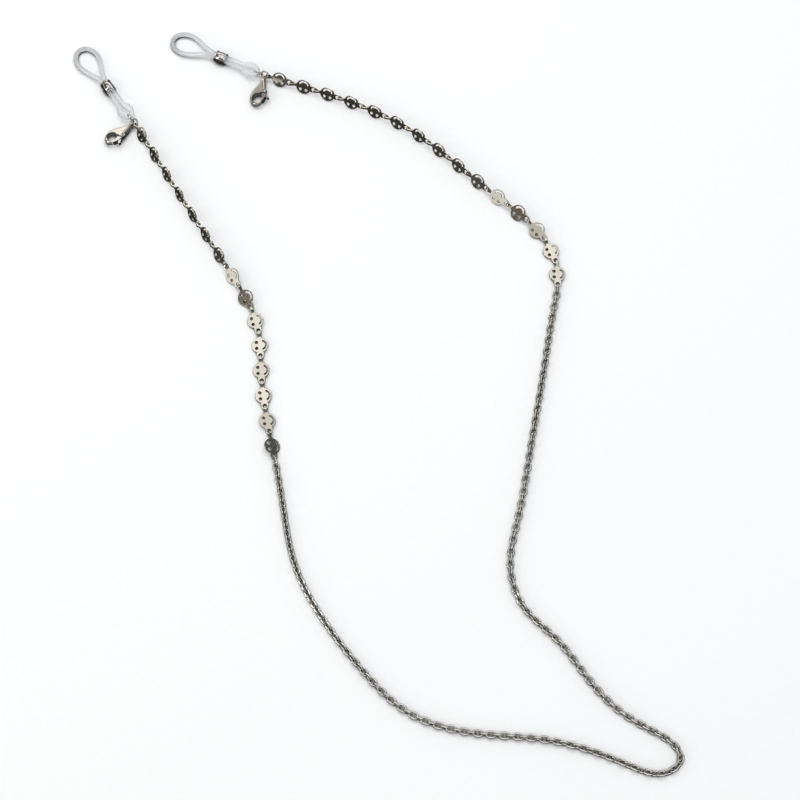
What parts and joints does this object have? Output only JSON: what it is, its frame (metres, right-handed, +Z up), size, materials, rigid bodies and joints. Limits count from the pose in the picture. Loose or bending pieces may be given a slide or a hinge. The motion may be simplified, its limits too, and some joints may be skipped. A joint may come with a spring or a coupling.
{
  "type": "eyeglass retainer strap",
  "caption": "Eyeglass chain: steel cable chain with pierced face discs, lobster clasps and clear silicone temple loops at both ends.",
  "frame": {"origin": "on the surface the strap lies on, under the middle of its outline", "axes": "+Z up from the surface; +Y towards the two temple loops; +X to the right, towards the fold of the chain"},
  "size_m": [0.2062, 0.266, 0.0055],
  "materials": {
    "disc_steel": "polished",
    "chain_steel": "polished",
    "fitting_steel": "polished",
    "spring_steel": "satin",
    "silicone": "clear, slightly milky"
  },
  "bodies": {
    "chain_01": {"chain_01": "chain_steel"},
    "chain_02": {"chain_02": "chain_steel"},
    "chain_03": {"chain_03": "chain_steel"},
    "chain_04": {"chain_04": "chain_steel"},
    "chain_05": {"chain_05": "chain_steel"},
    "chain_06": {"chain_06": "chain_steel"},
    "chain_07": {"chain_07": "chain_steel"},
    "chain_08": {"chain_08": "chain_steel"},
    "chain_09": {"chain_09": "chain_steel"},
    "chain_10": {"chain_10": "chain_steel"},
    "chain_11": {"chain_11": "chain_steel"},
    "chain_12": {"chain_12": "chain_steel"},
    "left_connector_link": {"left_connector_link": "chain_steel"},
    "left_disc_15": {"left_disc_15": "disc_steel"},
    "left_disc_14": {"left_disc_14": "disc_steel"},
    "left_disc_13": {"left_disc_13": "disc_steel"},
    "left_disc_12": {"left_disc_12": "disc_steel"},
    "left_disc_11": {"left_disc_11": "disc_steel"},
    "left_disc_10": {"left_disc_10": "disc_steel"},
    "left_disc_09": {"left_disc_09": "disc_steel"},
    "left_disc_08": {"left_disc_08": "disc_steel"},
    "left_disc_07": {"left_disc_07": "disc_steel"},
    "left_disc_06": {"left_disc_06": "disc_steel"},
    "left_disc_05": {"left_disc_05": "disc_steel"},
    "left_disc_04": {"left_disc_04": "disc_steel"},
    "left_disc_03": {"left_disc_03": "disc_steel"},
    "left_disc_02": {"left_disc_02": "disc_steel"},
    "left_disc_01": {"left_disc_01": "disc_steel"},
    "left_jump_ring": {"left_jump_ring": "fitting_steel"},
    "left_loop_ring": {"left_loop_ring": "fitting_steel"},
    "left_temple_loop": {"left_temple_loop": "silicone"},
    "left_loop_slider": {"left_loop_slider": "fitting_steel"},
    "left_clasp": {"left_clasp_body": "fitting_steel", "left_clasp_pin": "spring_steel", "left_clasp_spring": "spring_steel"},
    "left_clasp_lever": {"left_clasp_lever": "fitting_steel"},
    "right_connector_link": {"right_connector_link": "chain_steel"},
    "right_disc_15": {"right_disc_15": "disc_steel"},
    "right_disc_14": {"right_disc_14": "disc_steel"},
    "right_disc_13": {"right_disc_13": "disc_steel"},
    "right_disc_12": {"right_disc_12": "disc_steel"},
    "right_disc_11": {"right_disc_11": "disc_steel"},
    "right_disc_10": {"right_disc_10": "disc_steel"},
    "right_disc_09": {"right_disc_09": "disc_steel"},
    "right_disc_08": {"right_disc_08": "disc_steel"},
    "right_disc_07": {"right_disc_07": "disc_steel"},
    "right_disc_06": {"right_disc_06": "disc_steel"},
    "right_disc_05": {"right_disc_05": "disc_steel"},
    "right_disc_04": {"right_disc_04": "disc_steel"},
    "right_disc_03": {"right_disc_03": "disc_steel"},
    "right_disc_02": {"right_disc_02": "disc_steel"},
    "right_disc_01": {"right_disc_01": "disc_steel"},
    "right_jump_ring": {"right_jump_ring": "fitting_steel"},
    "right_loop_ring": {"right_loop_ring": "fitting_steel"},
    "right_temple_loop": {"right_temple_loop": "silicone"},
    "right_loop_slider": {"right_loop_slider": "fitting_steel"},
    "right_clasp": {"right_clasp_body": "fitting_steel", "right_clasp_pin": "spring_steel", "right_clasp_spring": "spring_steel"},
    "right_clasp_lever": {"right_clasp_lever": "fitting_steel"}
  },
  "joints": [
    {"name": "chain_05_bend", "type": "hinge", "parent": "chain_06", "child": "chain_05", "pos_m": [0.07338, -0.12464, 0.00121], "axis": [-0.2722, -0.8933, 0.3578], "range_deg": [-45, 45]},
    {"name": "chain_04_bend", "type": "hinge", "parent": "chain_05", "child": "chain_04", "pos_m": [0.04164, -0.11981, 0.00127], "axis": [-0.0865, -0.9938, -0.0695], "range_deg": [-45, 45]},
    {"name": "chain_03_bend", "type": "hinge", "parent": "chain_04", "child": "chain_03", "pos_m": [0.01402, -0.1109, 0.00127], "axis": [-0.5698, -0.8218, 0.003], "range_deg": [-45, 45]},
    {"name": "chain_02_bend", "type": "hinge", "parent": "chain_03", "child": "chain_02", "pos_m": [-0.00659, -0.08812, 0.00111], "axis": [0.6692, 0.4749, -0.5715], "range_deg": [-45, 45]},
    {"name": "chain_01_bend", "type": "hinge", "parent": "chain_02", "child": "chain_01", "pos_m": [-0.02058, -0.06165, 0.00103], "axis": [-0.715, -0.2182, -0.6642], "range_deg": [-45, 45]},
    {"name": "chain_07_bend", "type": "hinge", "parent": "chain_06", "child": "chain_07", "pos_m": [0.10188, -0.1286, 0.00107], "axis": [-0.7863, 0.0826, -0.6123], "range_deg": [-45, 45]},
    {"name": "chain_08_bend", "type": "hinge", "parent": "chain_07", "child": "chain_08", "pos_m": [0.081, -0.11011, 0.00122], "axis": [-0.6777, -0.678, -0.2846], "range_deg": [-45, 45]},
    {"name": "chain_09_bend", "type": "hinge", "parent": "chain_08", "child": "chain_09", "pos_m": [0.0603, -0.08557, 0.00125], "axis": [-0.6546, -0.724, 0.2173], "range_deg": [-45, 45]},
    {"name": "chain_10_bend", "type": "hinge", "parent": "chain_09", "child": "chain_10", "pos_m": [0.05071, -0.05938, 0.00125], "axis": [-0.9672, 0.1322, 0.217], "range_deg": [-45, 45]},
    {"name": "chain_11_bend", "type": "hinge", "parent": "chain_10", "child": "chain_11", "pos_m": [0.05711, -0.02927, 0.00124], "axis": [0.9398, -0.1645, 0.2994], "range_deg": [-45, 45]},
    {"name": "chain_12_bend", "type": "hinge", "parent": "chain_11", "child": "chain_12", "pos_m": [0.06244, -0.00035, 0.00117], "axis": [0.8807, -0.1568, 0.4469], "range_deg": [-45, 45]},
    {"name": "left_connector_bend", "type": "hinge", "parent": "chain_01", "child": "left_connector_link", "pos_m": [-0.02645, -0.03142, 0.00113], "axis": [0.4564, -0.0417, 0.8888], "range_deg": [-40, 40]},
    {"name": "left_disc_15_fold", "type": "hinge", "parent": "left_connector_link", "child": "left_disc_15", "pos_m": [-0.02689, -0.02928, 0.00146], "axis": [0.8795, 0.185, -0.4384], "range_deg": [-50, 50]},
    {"name": "left_disc_14_fold", "type": "hinge", "parent": "left_disc_15", "child": "left_disc_14", "pos_m": [-0.02877, -0.02037, 0.00146], "axis": [-0.8795, -0.185, 0.4384], "range_deg": [-60, 60]},
    {"name": "left_disc_13_fold", "type": "hinge", "parent": "left_disc_14", "child": "left_disc_13", "pos_m": [-0.03051, -0.01144, 0.00095], "axis": [0.9733, 0.1825, -0.139], "range_deg": [-60, 60]},
    {"name": "left_disc_12_fold", "type": "hinge", "parent": "left_disc_13", "child": "left_disc_12", "pos_m": [-0.03184, -0.00243, 0.00095], "axis": [-0.9887, -0.146, 0.0349], "range_deg": [-60, 60]},
    {"name": "left_disc_11_fold", "type": "hinge", "parent": "left_disc_12", "child": "left_disc_11", "pos_m": [-0.0325, 0.00666, 0.00095], "axis": [0.9968, 0.0723, 0.0349], "range_deg": [-60, 60]},
    {"name": "left_disc_10_fold", "type": "hinge", "parent": "left_disc_11", "child": "left_disc_10", "pos_m": [-0.03325, 0.01573, 0.00095], "axis": [-0.9942, -0.0822, -0.0698], "range_deg": [-60, 60]},
    {"name": "left_disc_09_fold", "type": "hinge", "parent": "left_disc_10", "child": "left_disc_09", "pos_m": [-0.0359, 0.02444, 0.00137], "axis": [0.9494, 0.2816, 0.139], "range_deg": [-60, 60]},
    {"name": "left_disc_08_fold", "type": "hinge", "parent": "left_disc_09", "child": "left_disc_08", "pos_m": [-0.04033, 0.03237, 0.00209], "axis": [-0.8128, -0.4183, -0.4055], "range_deg": [-60, 60]},
    {"name": "left_disc_07_fold", "type": "hinge", "parent": "left_disc_08", "child": "left_disc_07", "pos_m": [-0.04517, 0.04007, 0.00258], "axis": [0.6486, 0.3646, 0.6682], "range_deg": [-60, 60]},
    {"name": "left_disc_06_fold", "type": "hinge", "parent": "left_disc_07", "child": "left_disc_06", "pos_m": [-0.05009, 0.04773, 0.0028], "axis": [-0.4569, -0.2692, -0.8478], "range_deg": [-60, 60]},
    {"name": "left_disc_05_fold", "type": "hinge", "parent": "left_disc_06", "child": "left_disc_05", "pos_m": [-0.055, 0.05541, 0.00283], "axis": [0.3175, 0.1988, 0.9272], "range_deg": [-60, 60]},
    {"name": "left_disc_04_fold", "type": "hinge", "parent": "left_disc_05", "child": "left_disc_04", "pos_m": [-0.05983, 0.06313, 0.00283], "axis": [-0.29, -0.1814, -0.9397], "range_deg": [-60, 60]},
    {"name": "left_disc_03_fold", "type": "hinge", "parent": "left_disc_04", "child": "left_disc_03", "pos_m": [-0.0646, 0.07089, 0.00283], "axis": [0.2913, 0.1792, 0.9397], "range_deg": [-60, 60]},
    {"name": "left_disc_02_fold", "type": "hinge", "parent": "left_disc_03", "child": "left_disc_02", "pos_m": [-0.06935, 0.07867, 0.0028], "axis": [-0.318, -0.198, -0.9272], "range_deg": [-60, 60]},
    {"name": "left_disc_01_fold", "type": "hinge", "parent": "left_disc_02", "child": "left_disc_01", "pos_m": [-0.07407, 0.08646, 0.00272], "axis": [0.3708, 0.234, 0.8988], "range_deg": [-60, 60]},
    {"name": "left_jump_ring_swing", "type": "hinge", "parent": "left_disc_01", "child": "left_jump_ring", "pos_m": [-0.07877, 0.09426, 0.00258], "axis": [-0.4473, -0.2845, -0.8479], "range_deg": [-30, 30]},
    {"name": "left_loop_ring_swing", "type": "hinge", "parent": "left_jump_ring", "child": "left_loop_ring", "pos_m": [-0.08024, 0.09652, 0.00253], "axis": [0.7035, 0.4236, 0.5707], "range_deg": [-35, 35]},
    {"name": "left_temple_loop_swing", "type": "hinge", "parent": "left_loop_ring", "child": "left_temple_loop", "pos_m": [-0.0811, 0.09774, 0.0025], "axis": [-0.8186, -0.5744, 0], "range_deg": [-40, 40]},
    {"name": "left_slider_slide", "type": "slide", "parent": "left_temple_loop", "child": "left_loop_slider", "axis": [-0.5743, 0.8184, -0.0192], "range_m": [-0.0055, 0.0005]},
    {"name": "left_clasp_swing", "type": "hinge", "parent": "left_jump_ring", "child": "left_clasp", "pos_m": [-0.08032, 0.09471, 0.00179], "axis": [0.5981, -0.764, 0.2419], "range_deg": [-50, 50]},
    {"name": "left_clasp_lever_press", "type": "hinge", "parent": "left_clasp", "child": "left_clasp_lever", "pos_m": [-0.0832, 0.09043, 0.00219], "axis": [0.1491, -0.1905, -0.9703], "range_deg": [0, 24], "stiffness_Nm_per_rad": 0.00002, "springref_deg": -17.19, "deforming": ["left_clasp_spring"]},
    {"name": "right_connector_bend", "type": "hinge", "parent": "chain_12", "child": "right_connector_link", "pos_m": [0.06813, 0.03063, 0.00127], "axis": [-0.0001, -0.0004, 1], "range_deg": [-40, 8]},
    {"name": "right_disc_15_fold", "type": "hinge", "parent": "right_connector_link", "child": "right_disc_15", "pos_m": [0.0685, 0.0328, 0.00128], "axis": [1, 0.0056, 0], "range_deg": [-50, 50]},
    {"name": "right_disc_14_fold", "type": "hinge", "parent": "right_disc_15", "child": "right_disc_14", "pos_m": [0.06844, 0.04191, 0.00095], "axis": [-1, -0.0056, 0], "range_deg": [-60, 60]},
    {"name": "right_disc_13_fold", "type": "hinge", "parent": "right_disc_14", "child": "right_disc_13", "pos_m": [0.06487, 0.05028, 0.00137], "axis": [0.913, 0.3835, 0.139], "range_deg": [-60, 60]},
    {"name": "right_disc_12_fold", "type": "hinge", "parent": "right_disc_13", "child": "right_disc_12", "pos_m": [0.05906, 0.05727, 0.00202], "axis": [-0.7216, -0.561, -0.4057], "range_deg": [-60, 60]},
    {"name": "right_disc_11_fold", "type": "hinge", "parent": "right_disc_12", "child": "right_disc_11", "pos_m": [0.05216, 0.0632, 0.00236], "axis": [0.5171, 0.5656, 0.6423], "range_deg": [-60, 60]},
    {"name": "right_disc_10_fold", "type": "hinge", "parent": "right_disc_11", "child": "right_disc_10", "pos_m": [0.04512, 0.06898, 0.00263], "axis": [-0.4258, -0.4821, -0.7657], "range_deg": [-60, 60]},
    {"name": "right_disc_09_fold", "type": "hinge", "parent": "right_disc_10", "child": "right_disc_09", "pos_m": [0.03837, 0.0751, 0.00276], "axis": [0.3452, 0.3619, 0.8659], "range_deg": [-60, 60]},
    {"name": "right_disc_08_fold", "type": "hinge", "parent": "right_disc_09", "child": "right_disc_08", "pos_m": [0.03169, 0.08129, 0.0028], "axis": [-0.2793, -0.2957, -0.9135], "range_deg": [-60, 60]},
    {"name": "right_disc_07_fold", "type": "hinge", "parent": "right_disc_08", "child": "right_disc_07", "pos_m": [0.02481, 0.08726, 0.00283], "axis": [0.2481, 0.2807, 0.9272], "range_deg": [-60, 60]},
    {"name": "right_disc_06_fold", "type": "hinge", "parent": "right_disc_07", "child": "right_disc_06", "pos_m": [0.01755, 0.09276, 0.00283], "axis": [-0.2065, -0.2726, -0.9397], "range_deg": [-60, 60]},
    {"name": "right_disc_05_fold", "type": "hinge", "parent": "right_disc_06", "child": "right_disc_05", "pos_m": [0.00979, 0.09754, 0.00283], "axis": [0.1793, 0.2913, 0.9397], "range_deg": [-60, 60]},
    {"name": "right_disc_04_fold", "type": "hinge", "parent": "right_disc_05", "child": "right_disc_04", "pos_m": [0.00161, 0.10154, 0.00283], "axis": [-0.1501, -0.3073, -0.9397], "range_deg": [-60, 60]},
    {"name": "right_disc_03_fold", "type": "hinge", "parent": "right_disc_04", "child": "right_disc_03", "pos_m": [-0.00683, 0.10498, 0.00283], "axis": [0.1291, 0.3167, 0.9397], "range_deg": [-60, 60]},
    {"name": "right_disc_02_fold", "type": "hinge", "parent": "right_disc_03", "child": "right_disc_02", "pos_m": [-0.01539, 0.1081, 0.0028], "axis": [-0.1251, -0.3531, -0.9272], "range_deg": [-60, 60]},
    {"name": "right_disc_01_fold", "type": "hinge", "parent": "right_disc_02", "child": "right_disc_01", "pos_m": [-0.024, 0.11108, 0.00272], "axis": [0.136, 0.4168, 0.8988], "range_deg": [-60, 60]},
    {"name": "right_jump_ring_swing", "type": "hinge", "parent": "right_disc_01", "child": "right_jump_ring", "pos_m": [-0.03261, 0.11403, 0.00258], "axis": [-0.1596, -0.5055, -0.8479], "range_deg": [-30, 30]},
    {"name": "right_loop_ring_swing", "type": "hinge", "parent": "right_jump_ring", "child": "right_loop_ring", "pos_m": [-0.03511, 0.11504, 0.00253], "axis": [0.2664, 0.7767, 0.5707], "range_deg": [-35, 35]},
    {"name": "right_temple_loop_swing", "type": "hinge", "parent": "right_loop_ring", "child": "right_temple_loop", "pos_m": [-0.03646, 0.11567, 0.0025], "axis": [-0.4215, -0.9068, 0], "range_deg": [-40, 40]},
    {"name": "right_slider_slide", "type": "slide", "parent": "right_temple_loop", "child": "right_loop_slider", "axis": [-0.9066, 0.4215, -0.0192], "range_m": [-0.0055, 0.0005]},
    {"name": "right_clasp_swing", "type": "hinge", "parent": "right_jump_ring", "child": "right_clasp", "pos_m": [-0.03414, 0.11339, 0.00178], "axis": [0.9418, -0.2336, 0.2419], "range_deg": [-50, 50]},
    {"name": "right_clasp_lever_press", "type": "hinge", "parent": "right_clasp", "child": "right_clasp_lever", "pos_m": [-0.03376, 0.10825, 0.00218], "axis": [0.2348, -0.0582, -0.9703], "range_deg": [0, 24], "stiffness_Nm_per_rad": 0.00002, "springref_deg": -17.19, "deforming": ["right_clasp_spring"]}
  ]
}
